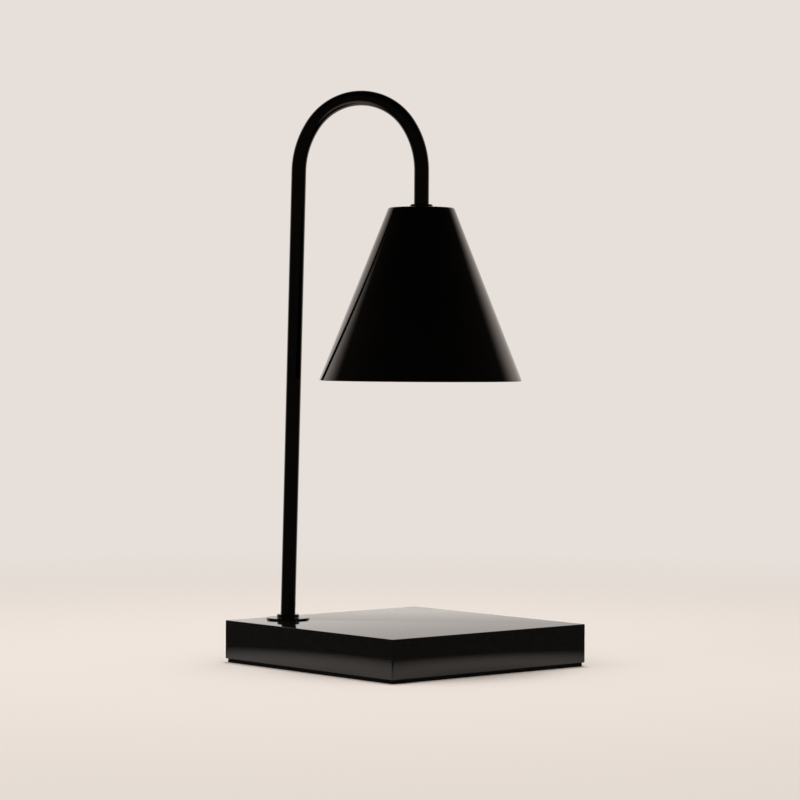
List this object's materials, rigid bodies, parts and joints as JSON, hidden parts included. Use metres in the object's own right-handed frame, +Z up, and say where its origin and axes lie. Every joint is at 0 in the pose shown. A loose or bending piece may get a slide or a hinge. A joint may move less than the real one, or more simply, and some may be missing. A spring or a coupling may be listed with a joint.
{
  "type": "candle warmer lamp",
  "caption": "Candle warmer lamp: a conical shade with a halogen bulb hangs from a crooked swivelling tube over a square polished stone base.",
  "frame": {"origin": "centre of the base's underside, where the pad rests", "axes": "+X to the right, +Y to the rear side with the cord outlet, +Z up; the pole stands by the rear left corner"},
  "size_m": [0.136, 0.136, 0.3055],
  "materials": {
    "polished_stone": "polished",
    "pad_foam": "matte",
    "black_nickel": "polished",
    "zinc_steel": "satin",
    "black_nylon": "matte",
    "black_rubber": "matte",
    "lead_sleeve": "matte",
    "splice_cap": "gloss",
    "white_ceramic": "glazed",
    "contact_bronze": "satin",
    "pin_nickel": "polished",
    "bulb_mirror": "mirror",
    "filament_wire": "satin",
    "bulb_glass": "clear"
  },
  "bodies": {
    "base": {"base_slab": "polished_stone", "base_pad": "pad_foam", "cord_gland": "black_rubber", "foot_flange": "black_nickel", "foot_bush": "black_nylon", "lead_tails": "lead_sleeve", "lead_splices": "splice_cap"},
    "arm": {"arm_tube": "black_nickel", "foot_collar": "black_nickel", "foot_washer": "zinc_steel", "foot_spring_washer": "zinc_steel", "foot_nut": "zinc_steel", "foot_ferrule": "black_nylon", "lamp_leads": "lead_sleeve", "shade_collar": "black_nickel", "shade": "black_nickel", "holder_bracket": "zinc_steel", "head_washer": "zinc_steel", "head_nut": "zinc_steel", "head_ferrule": "black_nylon", "holder_cap": "white_ceramic", "holder_body": "white_ceramic", "holder_screws": "zinc_steel", "holder_contacts": "contact_bronze"},
    "bulb": {"bulb_base": "white_ceramic", "bulb_pins": "pin_nickel", "bulb_reflector": "bulb_mirror", "bulb_lens": "bulb_glass", "bulb_capsule": "bulb_glass", "bulb_filament": "filament_wire"}
  },
  "joints": [
    {"name": "arm_swivel", "type": "hinge", "parent": "base", "child": "arm", "pos_m": [-0.036, 0.054, 0.0225], "axis": [0, 0, 1], "range_deg": [-90, 90]},
    {"name": "bulb_twist", "type": "hinge", "parent": "arm", "child": "bulb", "pos_m": [0.00448, -0.00672, 0.2124], "axis": [0, 0, 1], "range_deg": [-20, 0]}
  ]
}
